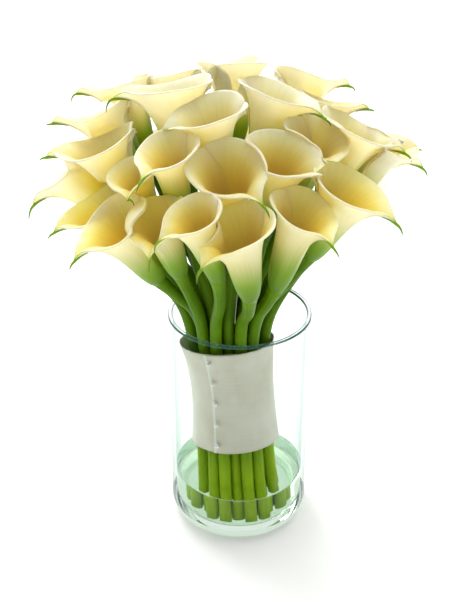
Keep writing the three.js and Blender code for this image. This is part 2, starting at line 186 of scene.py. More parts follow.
# The rolled margin of one bloom, from the tip round to the lapped back:
# share of the half turn, towards the tip, sideways, and up from the stem.
MARGIN = np.array([
    [0.00, 44, 0, 47],
    [0.05, 40, 1.6, 50],
    [0.13, 34, 7, 54],
    [0.28, 24.5, 18, 57],
    [0.46, 8, 27, 59],
    [0.64, -12, 26, 61.5],
    [0.80, -25, 14, 63],
    [0.92, -27.5, -1, 61.5],
    [1.00, -25, -10, 55],
])

# Each bloom: the middle of its mouth (x, y, z), its lean out of the bunch in degrees and how far
# that lean is turned aside, the way its tip points (0 to the front, 90 to the right), its size, how
# much longer its neck is, how far its tip hangs, and how its thin tail curls (down, and aside).
OUTER_RING = [
    [117, 66, 320, 36, -8, 88, 0.90, 0, -0.8, 0.9, 0.2],
    [98, 92, 285, 30, 0, 130, 1.00, 0, 0, 1, 0],
    [52, 118, 305, 25, 0, 150, 1.00, 0, 0, 0.8, 0.3],
    [-64, 130, 298, 28, 0, -155, 1.00, 0, 0, 1, -0.2],
    [-111, 94, 291, 30, 0, -125, 1.00, 0, 0, 0.8, 0.2],
    [-137, 50, 303, 36, 5, -80, 1.05, 0, -0.6, 1.5, 0],
    [-109, 0, 291, 32, 8, -80, 1.00, 4, -0.9, 0.4, 0],
    [-62, -48, 303, 27, 0, -15, 0.82, 8, 0.2, 1, 0],
    [-33, -79, 320, 30, -16, -65, 0.72, 24, 0.0, 0.9, 0.3],
    [-2, -78, 309, 22, -22, -45, 0.93, 9, 0.2, 1, 0.2],
    [45, -56, 313, 26, 9, 40, 0.88, 20, -0.2, 0.9, 0.5],
    [113, 28, 333, 32, -12, 120, 0.88, 0, -1.0, 0.3, 0.2],
]
SECOND_RING = [
    [68, 63, 355, 22, -10, 90, 0.80, 0, -1.3, 0.3, -0.3],
    [53, 96, 366, 16, 0, 110, 0.95, 0, -0.8, 0.6, 0],
    [-5, 126, 316, 22, 0, 180, 1.00, 0, 0, 0.8, 0],
    [-58, 97, 366, 6, 0, -120, 0.95, 0, -0.7, 0.6, 0],
    [-113, 63, 344, 22, 0, -90, 0.93, 0, -1.5, 0.1, 0],
    [-109, 24, 331, 24, 6, -95, 1.05, 0, -1.4, 0.3, 0],
    [-93, -42, 296, 34, 0, -58, 0.97, 6, -0.6, 0.6, 0],
    [-54, -32, 350, 21, 8, -32, 0.82, 4, -0.3, 1, -0.3],
    [-11, -43, 340, 30, -9, 36, 1.00, 6, -0.2, 1, 0.2],
    [29, -26, 345, 28, -12, 72, 0.97, 4, -0.1, 0.2, -0.6],
    [80, -27, 319, 32, 0, 72, 1.05, 4, -0.3, 0.8, 0],
    [88, 23, 347, 26, -8, 82, 1.02, 0, -0.6, 0.7, 0],
]
INNER_RING = [
    [26, 34, 373, 14, 0, 60, 1.03, 0, -0.2, 0.7, 0.4],
    [-6, 74, 381, 4, 0, 150, 1.00, 0, -1, 0.6, 0],
    [-97, 83, 361, 16, 8, -92, 0.90, 0, -1.3, 1.4, 0],
    [-82, -13, 326, 22, 10, -10, 0.72, 4, 0, 1, 0],
    [-23, -4, 371, 15, 0, -72, 0.95, 0, 0.1, 1.2, 0.3],
    [57, 6, 348, 24, -16, 24, 0.90, 0, 0, 1, 0.2],
]
MIDDLE_BLOOM = [-53, 34, 375, 5, 0, -82, 1.09, 0, -0.7, 1.4, 0.3]

# ---- lengths and directions ---------------------------------------------------------------------


def unit(vector):
    return vector / np.linalg.norm(vector, axis=-1, keepdims=True)


BUNCH_UP = unit(np.array([
    -math.tan(math.radians(LEAN_LEFT)),
    math.tan(math.radians(LEAN_BACK)),
    1.0,
]))
BUNCH_RIGHT = unit(np.array([1.0, 0.0, 0.0]) - BUNCH_UP * BUNCH_UP[0])
BUNCH_BACK = np.cross(BUNCH_UP, BUNCH_RIGHT)


def polar(radius, degrees):
    angle = math.radians(degrees + BUNDLE_TURN)
    return np.array([radius * math.cos(angle), radius * math.sin(angle)])


SIXTHS = range(0, 360, 60)
THIRD_TURN = math.degrees(math.atan2(math.sqrt(3) / 2, 2.5))
INNER_PLACES = [polar(1, turn) for turn in SIXTHS]
SECOND_PLACES = [p for turn in SIXTHS for p in (polar(2, turn), polar(math.sqrt(3), turn + 30))]
OUTER_PLACES = [
    polar(math.sqrt(7), turn + swing) for turn in SIXTHS for swing in (-THIRD_TURN, THIRD_TURN)
]


def in_bundle(middle, place, spread):
    return (
        middle
        + BUNCH_RIGHT * place[0] * STEM_PITCH * spread
        + BUNCH_BACK * place[1] * STEM_PITCH * spread
    )


class Bloom:
    """Where one flower's mouth, foot and tip are."""

    def __init__(self, row, place):
        x, y, z, lean, twist, heading, size, neck, droop, hook, sway = row
        self.mouth = np.array([x, y, z], float)
        lean, twist, heading = (math.radians(angle) for angle in (lean, twist, heading))
        outward = self.mouth - WAIST
        outward = unit(outward - BUNCH_UP * outward.dot(BUNCH_UP))
        outward = outward * math.cos(twist) + np.cross(BUNCH_UP, outward) * math.sin(twist)
        self.up = BUNCH_UP * math.cos(lean) + outward * math.sin(lean)
        to_tip = np.array([math.sin(heading), -math.cos(heading), 0.0])
        self.to_tip = unit(to_tip - self.up * to_tip.dot(self.up))
        self.side = np.cross(self.up, self.to_tip)
        self.base = self.mouth - self.up * (TUBE_LENGTH * size + neck)
        self.size = size
        self.neck = neck / size
        self.droop = droop
        self.hook = hook
        self.sway = sway
        self.place = place
        self.phase = x


BLOOMS = sorted(
    [Bloom(row, place) for row, place in zip(OUTER_RING, OUTER_PLACES)]
    + [Bloom(row, place) for row, place in zip(SECOND_RING, SECOND_PLACES)]
    + [Bloom(row, place) for row, place in zip(INNER_RING, INNER_PLACES)]
    + [Bloom(MIDDLE_BLOOM, np.zeros(2))],
    key=lambda bloom: bloom.mouth[1],
)

# ---- curves -------------------------------------------------------------------------------------


def bezier(points, share):
    share = np.asarray(share, float)[..., None]
    rest = 1 - share
    first, second, third, last = points
    return (
        rest**3 * first
        + 3 * share * rest**2 * second
        + 3 * share**2 * rest * third
        + share**3 * last
    )


def smooth_through(knots, points, at):
    """A smooth curve through the points, read at the given values."""
    points = np.asarray(points, float)
    slopes = np.empty_like(points)
    slopes[1:-1] = (points[2:] - points[:-2]) / (knots[2:] - knots[:-2])[:, None]
    slopes[0] = (points[1] - points[0]) / (knots[1] - knots[0])
    slopes[-1] = (points[-1] - points[-2]) / (knots[-1] - knots[-2])
    i = np.clip(np.searchsorted(knots, at, side="right") - 1, 0, len(knots) - 2)
    span = (knots[i + 1] - knots[i])[..., None]
    u = (at - knots[i])[..., None] / span
    return (
        (2 * u**3 - 3 * u**2 + 1) * points[i]
        + (u**3 - 2 * u**2 + u) * slopes[i] * span
        + (3 * u**2 - 2 * u**3) * points[i + 1]
        + (u**3 - u**2) * slopes[i + 1] * span
    )


def along_path(path, shares):
    """Points at even distances along a path, as shares of its whole length."""
    steps = np.linalg.norm(np.diff(path, axis=0), axis=1)
    length = np.concatenate([[0], np.cumsum(steps)])
    return smooth_through(length, path, np.asarray(shares) * length[-1])


def stem_path(bloom):
    """The stem's middle line, from its cut foot to inside the bloom."""
    foot = in_bundle(FEET_MIDDLE, bloom.place, FEET_SPREAD)
    foot[2] = FEET_MIDDLE[2]
    waist = in_bundle(WAIST, bloom.place, 1)
    collar = in_bundle(WAIST + BUNCH_UP * COLLAR_RISE, bloom.place, COLLAR_SPREAD)
    rise = unit(collar - waist)
    share = (RIM_PASS - collar[2]) / (bloom.base[2] - collar[2])
    rim = collar + (bloom.base - collar) * share * 0.5
    rim[:2] *= min(1, RIM_REACH / np.linalg.norm(rim[:2]))
    rim[2] = RIM_PASS
    outward = unit(unit(bloom.base - rim) + unit(rim - collar))
    reach = np.linalg.norm(bloom.base - rim)
    lower = [foot, foot + BUNCH_UP * FOOT_STRETCH, waist - rise * WAIST_STRETCH, waist]
    upper = [
        rim,
        rim + outward * reach * BEND_SHARE,
        bloom.base - bloom.up * reach * BEND_SHARE,
        bloom.base,
    ]
    ends_and_middle = [0, 0.5, 1]
    return np.vstack([
        bezier(lower, ends_and_middle),
        collar,
        bezier(upper, ends_and_middle),
        bloom.base + bloom.up * STEM_IN_BLOOM,
    ])


# ---- the petal's surface ------------------------------------------------------------------------


def petal_at(bloom, turn, rise):
    """The petal before its margins lap: turn runs from -1 at one margin, over 0 at the tip, to 1;
    rise runs from 0 on the stem to 1 at the rolled edge."""
    angle = turn * (math.pi + math.radians(LAP_ANGLE))
    tipness = np.exp(-((turn / TIP_WIDTH) ** 2))
    x, y, z = np.moveaxis(smooth_through(MARGIN[:, 0], MARGIN[:, 1:], np.abs(turn)), -1, 0)
    wave = EDGE_WAVE * np.sin(EDGE_WAVES * math.pi * turn + bloom.phase)
    wave = wave * np.minimum(1, EDGE_WAVES * np.abs(turn))
    height = z + wave - TIP_DROP * bloom.droop * tipness + bloom.neck
    edge = np.stack([x, np.sign(turn) * y, height], -1)

    def around(radius, swing, height):
        return np.stack([radius * np.cos(swing), radius * np.sin(swing), height + 0 * swing], -1)

    local = bezier(
        [
            around(FOOT_RADIUS / bloom.size, angle, -FOOT_SINK),
            around(BELLY_RADIUS, angle, BELLY_HEIGHT + bloom.neck * BELLY_NECK_SHARE),
            around(
                THROAT_RADIUS - THROAT_TIP_NARROWING * tipness,
                angle * THROAT_TURN,
                THROAT_HEIGHT + bloom.neck + THROAT_TIP_RISE * tipness,
            ),
            edge,
        ],
        rise,
    )
    axes = np.stack([bloom.to_tip, bloom.side, bloom.up])
    return bloom.base + bloom.size * local @ axes


def funnel_radius(height, towards_tip):
    """How wide a neighbour's bloom is at a height over its stem."""
    flare = ROOM_FLARE + ROOM_TIP_FLARE * np.maximum(0, towards_tip) ** 8
    swell = math.pi / 2 * (height - ROOM_FOOT) / (ROOM_BELLY - ROOM_FOOT)
    foot = STEM_RADIUS + ROOM_SWELL * np.sin(swell)
    rise = np.maximum(0, height - ROOM_BELLY) / (ROOM_MOUTH - ROOM_BELLY)
    tube = ROOM_RADIUS + flare * rise**3
    over = (height - ROOM_MOUTH) / (ROOM_TOP - ROOM_MOUTH)
    top = (ROOM_RADIUS + flare) * np.sqrt(np.clip(1 - over**2, 0, 1))
    radius = np.where(height < ROOM_BELLY, foot, np.where(height < ROOM_MOUTH, tube, top))
    return np.where((height < ROOM_FOOT) | (height > ROOM_TOP), 0, radius)


def pressed(points, bloom):
    """Where blooms crowd each other, the one behind bends round the one in front."""
    moved = points.copy()
    for other in BLOOMS[: BLOOMS.index(bloom)]:
        apart = bloom.mouth - other.mouth
        apart = unit(apart - other.up * apart.dot(other.up))
        across = np.cross(other.up, apart)
        offset = moved - other.base
        height, distance, aside = offset @ other.up, offset @ apart, offset @ across
        height = height - other.neck * other.size * np.clip(height / ROOM_NECK, 0, 1)
        facing = unit(apart * np.abs(distance)[..., None] + across * aside[..., None])
        radius = funnel_radius(height / other.size, facing @ other.to_tip) * other.size
        room = radius + ROOM_GAP
        push = np.maximum(0, np.sqrt(np.maximum(0, room**2 - aside**2)) - distance)
        push = np.where((radius == 0) | (np.abs(aside) > room), 0, push)
        moved += apart * push[..., None]
    return moved


def petal_surface(bloom, turn, row):
    """The petal with its lap and its rolled lip. row runs from 0 on the stem to 1 on the lip."""
    step = 0.01
    rise = np.minimum(row / LIP_START, 1)
    curl = np.maximum(0, row - LIP_START) / (1 - LIP_START)

    def surface(t, r):
        return pressed(petal_at(bloom, t, r), bloom)

    middle = surface(turn, rise)
    sideways = surface(turn + step, rise) - surface(turn - step, rise)
    upwards = surface(turn, np.minimum(rise + step, 1)) - surface(turn, np.maximum(rise - step, 0))
    ahead = unit(upwards)
    normal = unit(np.cross(sideways, upwards))
    tipness = np.exp(-((turn / LIP_TIP_WIDTH) ** 2))
    radius = (LIP_RADIUS * bloom.size * (1 - LIP_TIP_NARROWING * tipness))[..., None]
    bend = (curl * LIP_CURL)[..., None]
    lap = (LAP_OFFSET * turn * (1 + LAP_WIDENING * rise))[..., None]
    return (
        middle
        + normal * lap
        + ahead * radius * np.sin(bend)
        + normal * radius * (1 - np.cos(bend))
    )


# ---- modelling ----------------------------------------------------------------------------------


def let_go():
    if bpy.context.object and bpy.context.object.mode != "OBJECT":
        bpy.ops.object.mode_set(mode="OBJECT")
    bpy.ops.object.select_all(action="DESELECT")


def begin(primitive, name, **sizes):
    """Adds a primitive, with nothing else selected."""
    let_go()
    primitive(**sizes)
    piece = bpy.context.object
    piece.name = name
    piece.data.name = name
    return piece


def take(piece):
    let_go()
    piece.select_set(True)
    bpy.context.view_layer.objects.active = piece


def copy_of(master, name):
    piece = master.copy()
    piece.data = master.data.copy()
    piece.name = name
    piece.data.name = name
    bpy.context.scene.collection.objects.link(piece)
    return piece


def corners_of(piece):
    places = np.empty(len(piece.data.vertices) * 3)
    piece.data.vertices.foreach_get("co", places)
    return places.reshape(-1, 3)


def place_corners(piece, places):
    piece.data.vertices.foreach_set("co", (places * MM).ravel())
    piece.data.update()


def set_uv(piece, across, up):
    """Gives each corner of the piece its place across and up the surface."""
    layer = piece.data.uv_layers.get("UVMap") or piece.data.uv_layers.new(name="UVMap")
    corner = np.empty(len(piece.data.loops), dtype=int)
    piece.data.loops.foreach_get("vertex_index", corner)
    layer.data.foreach_set("uv", np.stack([across[corner], up[corner]], -1).ravel())


def smooth(piece, angle=None):
    take(piece)
    if angle is None:
        bpy.ops.object.shade_smooth()
    else:
        bpy.ops.object.shade_smooth_by_angle(angle=math.radians(angle))


def finish_modifier(piece, kind, **settings):
    take(piece)
    modifier = piece.modifiers.new(kind.title(), kind)
    for key, value in settings.items():
        setattr(modifier, key, value)
    bpy.ops.object.modifier_apply(modifier=modifier.name)


def select_nothing(piece):
    bpy.ops.object.mode_set(mode="OBJECT")
    for parts in (piece.data.polygons, piece.data.edges, piece.data.vertices):
        for part in parts:
            part.select = False


def select_faces(piece, wanted):
    """In edit mode, selects the faces for which wanted(centre, normal) holds."""
    select_nothing(piece)
    for face in piece.data.polygons:
        face.select = bool(wanted(face.center, face.normal))
    bpy.ops.object.mode_set(mode="EDIT")
    bpy.ops.mesh.select_mode(type="FACE")


def select_edges(piece, wanted):
    """In edit mode, selects the edges for which both ends satisfy wanted(place)."""
    select_nothing(piece)
    places = [bool(wanted(corner.co)) for corner in piece.data.vertices]
    for edge in piece.data.edges:
        edge.select = places[edge.vertices[0]] and places[edge.vertices[1]]
    bpy.ops.object.mode_set(mode="EDIT")
    bpy.ops.mesh.select_mode(type="EDGE")


def cut_across(*heights):
    """In edit mode, adds loops of edges that keep the long walls flat beside a rounded edge."""
    for height in heights:
        bpy.ops.mesh.select_all(action="SELECT")
        bpy.ops.mesh.bisect(plane_co=(0, 0, height * MM), plane_no=(0, 0, 1))


def drawn_out(name, sides, rings):
    """A straight closed tube of radius 1, drawn out from a circle with a ring at each height."""
    piece = begin(bpy.ops.mesh.primitive_circle_add, name, vertices=sides, radius=1)
    bpy.ops.object.mode_set(mode="EDIT")
    bpy.ops.mesh.select_all(action="SELECT")
    bpy.ops.mesh.edge_face_add()
    for _ in range(rings):
        bpy.ops.mesh.extrude_region_move(TRANSFORM_OT_translate={"value": (0, 0, 1)})
    bpy.ops.mesh.select_all(action="SELECT")
    bpy.ops.mesh.normals_make_consistent(inside=False)
    bpy.ops.object.mode_set(mode="OBJECT")
    return piece


def bend_tube(piece, path, radii):
    """Lays a straight tube along a path with one point and one radius for each ring."""
    raw = corners_of(piece)
    ring = np.rint(raw[:, 2]).astype(int)
    forward = unit(np.gradient(path, axis=0))
    across = np.empty_like(forward)
    last = BUNCH_RIGHT
    for i, ahead in enumerate(forward):
        last = unit(last - ahead * last.dot(ahead))
        across[i] = last
    other = np.cross(forward, across)
    radii = np.asarray(radii)[ring][:, None]
    place_corners(
        piece,
        path[ring] + (across[ring] * raw[:, :1] + other[ring] * raw[:, 1:2]) * radii,
    )
    angle = np.arctan2(raw[:, 1], raw[:, 0]) / (2 * math.pi) + 0.5
    set_uv(piece, angle, ring / ring.max())


# ---- shader maths -------------------------------------------------------------------------------


class Wire:
    """A number that a node gives, which takes part in arithmetic."""

    def __init__(self, finish, socket):
        self.finish = finish
        self.socket = socket

    def maths(self, operation, *values):
        return self.finish.node("ShaderNodeMath", {"operation": operation}, values)

    def __add__(self, other):
        return self.maths("ADD", self, other)

    def __sub__(self, other):
        return self.maths("SUBTRACT", self, other)

    def __rsub__(self, other):
        return self.maths("SUBTRACT", other, self)

    def __mul__(self, other):
        return self.maths("MULTIPLY", self, other)

    def __pow__(self, other):
        return self.maths("POWER", self, other)

    def __abs__(self):
        return self.maths("ABSOLUTE", self)

    __radd__ = __add__

    def between(self, low, high):
        """0 below low, 1 above high, and smooth between them."""
        settings = {"interpolation_type": "SMOOTHSTEP"}
        return self.finish.node("ShaderNodeMapRange", settings, {0: self, 1: low, 2: high})


class Finish:
    """One material and the nodes that make it."""

    def __init__(self, name, **constants):
        self.material = bpy.data.materials.new(name)
        self.material.use_nodes = True
        self.tree = self.material.node_tree
        self.shader = self.tree.nodes["Principled BSDF"]
        self.output = self.tree.nodes["Material Output"]
        for key, value in constants.items():
            self.shader.inputs[key.replace("_", " ")].default_value = value

    def join(self, value, socket):
        if isinstance(value, Wire):
            self.tree.links.new(value.socket, socket)
        elif isinstance(value, tuple) and len(value) == 3 and socket.type == "RGBA":
            socket.default_value = (*value, 1)
        else:
            socket.default_value = value

    def node(self, kind, settings=None, values=(), output=0):
        made = self.tree.nodes.new(kind)
        for key, value in (settings or {}).items():
            setattr(made, key, value)
        pairs = values.items() if isinstance(values, dict) else enumerate(values)
        for key, value in pairs:
            self.join(value, made.inputs[key])
        return Wire(self, made.outputs[output])

    def uv(self):
        """The place on the surface, and its shares across the piece and up it."""
        place = self.node("ShaderNodeUVMap", {"uv_map": "UVMap"})
        across = self.node("ShaderNodeSeparateXYZ", None, [place])
        return place, across, Wire(self, across.socket.node.outputs["Y"])

    def place(self):
        return self.node("ShaderNodeTexCoord", None, (), "Object")

    def stretched(self, place, scale):
        return self.node("ShaderNodeMapping", None, {"Vector": place, "Scale": scale})

    def noise(self, place, scale, detail=2.0):
        values = {"Vector": place, "Scale": scale, "Detail": detail}
        return self.node("ShaderNodeTexNoise", None, values, 0)

    def waves(self, direction, place, scale):
        settings = {"bands_direction": direction}
        values = {"Vector": place, "Scale": scale}
        return self.node("ShaderNodeTexWave", settings, values, "Fac")

    def grains(self, scale):
        values = {"Vector": self.place(), "Scale": scale}
        return self.node("ShaderNodeTexVoronoi", None, values)

    def apart_from(self, point):
        """How far a place on the piece is from a point of the bouquet."""
        values = [self.place(), point]
        return self.node("ShaderNodeVectorMath", {"operation": "DISTANCE"}, values, "Value")

    def read(self, attribute):
        return self.node("ShaderNodeAttribute", {"attribute_name": attribute}, (), "Fac")

    def mix(self, share, first, second):
        settings = {"data_type": "RGBA"}
        return self.node("ShaderNodeMix", settings, {0: share, 6: first, 7: second}, 2)

    def bump(self, height, distance, strength=1.0):
        values = {"Height": height, "Distance": distance, "Strength": strength}
        self.use(Normal=self.node("ShaderNodeBump", None, values, "Normal"))

    def use(self, **values):
        for name, value in values.items():
            self.join(value, self.shader.inputs[name.replace("_", " ")])
        return self.material


# ---- finishes -----------------------------------------------------------------------------------

GREEN = (0.070, 0.170, 0.001)
STREAK_GREEN = (0.135, 0.275, 0.002)
FRESH_GREEN = (0.200, 0.380, 0.002)
TIP_GREEN = (0.260, 0.460, 0.012)
TAIL_GREEN = (0.075, 0.230, 0.008)
STEM_FOOT_PALE_GREEN = (0.460, 0.660, 0.015)
# The two glow colours give the petals a faint painted glow, standing in for light through them.
PETAL_GLOW = (1.0, 0.78, 0.22)
GREEN_GLOW = (0.10, 0.25, 0.0)
PITH = (0.62, 0.72, 0.38)
PITH_RING = (0.30, 0.46, 0.12)
POLLEN = (0.90, 0.52, 0.05)
# The darker pollen colour is painted shade between the spadix's beads.
PAINTED_POLLEN_SHADE = (0.62, 0.30, 0.01)
IVORY = (0.80, 0.74, 0.63)
IVORY_SHADE = (0.70, 0.63, 0.50)
IVORY_SLUB = (0.88, 0.84, 0.76)
IVORY_HEM = (0.60, 0.53, 0.42)
# The palest ivory is a painted highlight along the ribbon's folded end.
IVORY_END_HIGHLIGHT = (0.92, 0.90, 0.80)
WALL_TINT = (0.955, 0.985, 0.975)
WALL_EDGE = (0.40, 0.62, 0.56)
# The near-black rim colour is painted refraction.
RIM_REFRACTION_LINE = (0.03, 0.13, 0.10)
FOOT_TINT = (0.70, 0.90, 0.72)
WATER_TINT = (0.95, 0.99, 0.90)
WHITE = (1.0, 1.0, 1.0)
NACRE = (0.95, 0.94, 0.93)
NACRE_SHADE = (0.86, 0.84, 0.80)
BRIGHT_STEEL = (0.72, 0.72, 0.74)

# The parts of a petal's height, from 0 on the stem to 1 at the lip, over which each look comes in.
MIDDLE_RISE = (0.38, 0.88)
PALE_RISE = (0.66, 0.98)
LIP_RISE = (0.86, 1.0)
TIP_RISE = (0.74, 0.97)
TIP_FRINGE_RISE = (0.88, 0.97)
# How far from the bunch's waist, in metres, the painted light of the open dome comes in.
SUNLIT_REACH = (0.205, 0.275)


def petal_finish(name, deep, middle, pale, golden, sunlit, green_top):
    """Waxy petal that lets a little light through: green at its foot and its tip, with painted
    golden shade where neighbours crowd it, palest at its lip, painted light far out in the dome and
    a faint painted glow."""
    finish = Finish(
        name,
        Roughness=0.42,
        Subsurface_Weight=0.75,
        Subsurface_Radius=(1.0, 0.75, 0.37),
        Subsurface_Scale=0.005,
        Specular_IOR_Level=0.3,
        Sheen_Weight=0.05,
        Emission_Strength=0.07,
    )
    place, across, up = finish.uv()
    streaks = finish.noise(finish.stretched(place, (46, 1.2, 1)), 1.0, 3.0)
    broad = finish.noise(finish.place(), 22.0, 2.0)
    flesh = finish.mix(up.between(*MIDDLE_RISE), deep, middle)
    flesh = finish.mix(up.between(*PALE_RISE) * (0.75 + broad * 0.5), flesh, pale)
    # Painted light: far out in the dome the petals turn paler and whiter, as if lit from behind.
    high = finish.apart_from(tuple(WAIST * MM)).between(*SUNLIT_REACH)
    # Painted golden shade where neighbours crowd the petal, weaker far out in the dome and at the
    # lip.
    crowd = finish.read("crowd").between(0.2, 2.0)
    shade = crowd * (1 - high * 0.4) * (1 - up.between(*LIP_RISE) * 0.5)
    flesh = finish.mix(shade, flesh, golden)
    flesh = finish.mix(high * 0.6, flesh, sunlit)
    flesh = finish.mix(streaks.between(0.35, 0.75) * 0.10, flesh, deep)
    turn = abs(across - 0.5) * 2
    level = up + (streaks - 0.5) * 0.05 + (broad - 0.5) * 0.08
    foot = 1 - level.between(green_top * 0.35, green_top)
    flesh = finish.mix(foot, flesh, FRESH_GREEN)
    deep_foot = 1 - level.between(0, green_top * 0.62)
    flesh = finish.mix(deep_foot * 0.75, flesh, GREEN)
    tip = (1 - turn.between(0.02, 0.10)) * up.between(*TIP_RISE)
    tip = tip + (1 - turn.between(0.06, 0.30)) * up.between(*TIP_FRINGE_RISE) * 0.85
    flesh = finish.mix(tip.between(0, 1), flesh, TIP_GREEN)
    # A faint painted glow, warm on the petal and green at its foot and tip, stands in for light
    # through the petals.
    glow = finish.mix(foot + tip.between(0, 1), PETAL_GLOW, GREEN_GLOW)
    finish.bump(streaks, 0.0005, 0.6)
    return finish.use(Base_Color=flesh, Emission_Color=glow)


def tail_finish():
    """The petal's curled end, a deeper green towards its point."""
    finish = Finish(
        "petal_tail",
        Roughness=0.4,
        Subsurface_Weight=0.3,
        Subsurface_Radius=(0.5, 1.0, 0.1),
        Subsurface_Scale=0.002,
        Specular_IOR_Level=0.3,
    )
    place, _, up = finish.uv()
    streaks = finish.noise(finish.stretched(place, (8, 3, 1)), 1.0, 3.0)
    skin = finish.mix(up.between(0.35, 1.0) + (streaks - 0.5) * 0.3, TIP_GREEN, TAIL_GREEN)
    finish.bump(streaks, 0.0002, 0.5)
    return finish.use(Base_Color=skin)


def stem_finish():
    """Smooth fleshy stem with fine lengthwise streaks, paler in the water and at its top."""
    finish = Finish(
        "stem_skin",
        Roughness=0.42,
        Subsurface_Weight=0.10,
        Subsurface_Radius=(0.4, 1.0, 0.1),
        Subsurface_Scale=0.002,
        Specular_IOR_Level=0.10,
    )
    place, _, up = finish.uv()
    streaks = finish.noise(finish.stretched(place, (14, 1.5, 1)), 1.0, 4.0)
    broad = finish.noise(finish.place(), 35.0, 2.0)
    streaky = (streaks * 0.7 + broad * 0.5).between(0.35, 0.85)
    skin = finish.mix(streaky, GREEN, STREAK_GREEN)
    # Paler towards the foot, where the stem stands in the water.
    skin = finish.mix((1 - up.between(0.05, 0.36)) * 0.85, skin, STEM_FOOT_PALE_GREEN)
    skin = finish.mix(up.between(0.92, 1.0) * 0.35, skin, FRESH_GREEN)
    finish.bump(streaks, 0.0003, 0.5)
    return finish.use(Base_Color=skin)


def cut_finish():
    """The wet pith where a stem was cut."""
    finish = Finish("stem_cut", Roughness=0.5, Subsurface_Weight=0.2, Subsurface_Scale=0.002)
    pores = finish.grains(900.0)
    pith = finish.mix(pores.between(0.1, 0.5), PITH_RING, PITH)
    finish.bump(pores, 0.0004)
    return finish.use(Base_Color=pith)


def spadix_finish():
    """Close golden beads, with painted shade between them."""
    finish = Finish("spadix", Roughness=0.7, Subsurface_Weight=0.1, Subsurface_Scale=0.001)
    beads = finish.grains(800.0)
    # Painted shade in the crevices between the beads.
    skin = finish.mix(beads.between(0.1, 0.6), POLLEN, PAINTED_POLLEN_SHADE)
    finish.bump(1 - beads, 0.0006)
    return finish.use(Base_Color=skin)


def satin_finish():
    """Ivory satin: a close weave with a soft sheen, hemmed edges and a painted highlight along its
    folded end.
    """
    finish = Finish(
        "ribbon_satin",
        Sheen_Weight=0.35,
        Sheen_Roughness=0.35,
        Specular_IOR_Level=0.45,
    )
    place, across, up = finish.uv()
    warp = finish.waves("X", place, 110.0)
    weft = finish.waves("Y", place, 75.0)
    broad = finish.noise(finish.place(), 30.0, 3.0)
    slubs = finish.noise(finish.stretched(place, (4, 90, 1)), 1.0, 2.0)
    cloth = finish.mix(broad.between(0.3, 0.7), IVORY_SHADE, IVORY)
    cloth = finish.mix(slubs.between(0.45, 0.8) * 0.3, cloth, IVORY_SLUB)
    hem = up.between(0.975, 0.985) + (1 - up.between(0.015, 0.025))
    cloth = finish.mix(hem * 0.35, cloth, IVORY_HEM)
    # A painted highlight along the folded end; the bump raises the fold itself.
    end = across.between(0.990, 0.992)
    cloth = finish.mix(end * 0.7, cloth, IVORY_END_HIGHLIGHT)
    finish.bump(warp * 0.5 + weft * 0.5 + hem * 0.8 + end * 2.0, 0.00015, 0.5)
    return finish.use(Base_Color=cloth, Roughness=0.34 + slubs * 0.16)


def refracting_finish(name, ior, tint):
    """Clear thick glass or water, which bends what is seen through it."""
    finish = Finish(name, Roughness=0.0, IOR=ior, Transmission_Weight=1.0)
    ripples = finish.noise(finish.place(), 9.0, 1.0)
    finish.bump(ripples, 0.0006, 0.25)
    cast = finish.mix(ripples * 0.3, tint, WHITE)
    return finish.use(Base_Color=cast)


def wall_finish():
    """Thin clear glass, which shows teal where it turns away, partly its own tint and partly
    painted refraction, and two dark lines of painted refraction round its rim.
    """
    finish = Finish("vase_wall", Roughness=0.05, Specular_IOR_Level=0.5)
    height = finish.node("ShaderNodeSeparateXYZ", None, [finish.place()], "Z")
    rim = height.between((VASE_HEIGHT - 2.4) * MM, (VASE_HEIGHT - 1.6) * MM)
    uneven = finish.noise(finish.place(), 14.0, 1.0).between(0.35, 0.65)
    # The teal edge is partly the glass's own tint and partly painted refraction; the rim's
    # near-black lines are painted refraction.
    skin = finish.mix(rim, WALL_EDGE, RIM_REFRACTION_LINE)
    away = finish.node("ShaderNodeLayerWeight", None, {"Blend": 0.5}, "Facing")
    flat = finish.stretched(finish.place(), (1, 1, 0))
    out = finish.node("ShaderNodeVectorMath", {"operation": "LENGTH"}, [flat], "Value")
    # Painted refraction: the rim's dark lines lie near its inner and outer faces.
    lines = abs(out - (VASE_RADIUS - VASE_WALL / 2) * MM).between(0.8 * MM, 1.5 * MM)
    share = away**5 * 0.8 + rim * (0.10 + lines * (0.50 + uneven * 0.5))
    clear = finish.node("ShaderNodeBsdfTransparent", None, {"Color": WALL_TINT})
    solid = Wire(finish, finish.shader.outputs["BSDF"])
    both = finish.node("ShaderNodeMixShader", None, {0: share, 1: clear, 2: solid})
    finish.tree.links.new(both.socket, finish.output.inputs["Surface"])
    return finish.use(Base_Color=skin)


def pearl_finish():
    finish = Finish(
        "pin_pearl",
        Roughness=0.14,
        Coat_Weight=1.0,
        Coat_Roughness=0.06,
        Subsurface_Weight=0.2,
        Subsurface_Scale=0.001,
    )
    swirl = finish.noise(finish.place(), 300.0, 2.0)
    skin = finish.mix(swirl.between(0.3, 0.7), NACRE_SHADE, NACRE)
    return finish.use(Base_Color=skin)


def steel_finish():
    finish = Finish("pin_steel", Metallic=1.0)
    grain = finish.noise(finish.place(), 1200.0, 2.0)
    return finish.use(Base_Color=BRIGHT_STEEL, Roughness=0.2 + grain * 0.15)


# In both petal finishes, golden is painted warm shade where neighbours crowd the petal.
PETAL_OUTSIDE = petal_finish(
    "petal_outside",
    deep=(0.80, 0.74, 0.40),
    middle=(0.86, 0.80, 0.50),
    pale=(0.92, 0.89, 0.74),
    golden=(0.84, 0.63, 0.06),
    sunlit=(0.96, 0.95, 0.80),
    green_top=0.62,
)
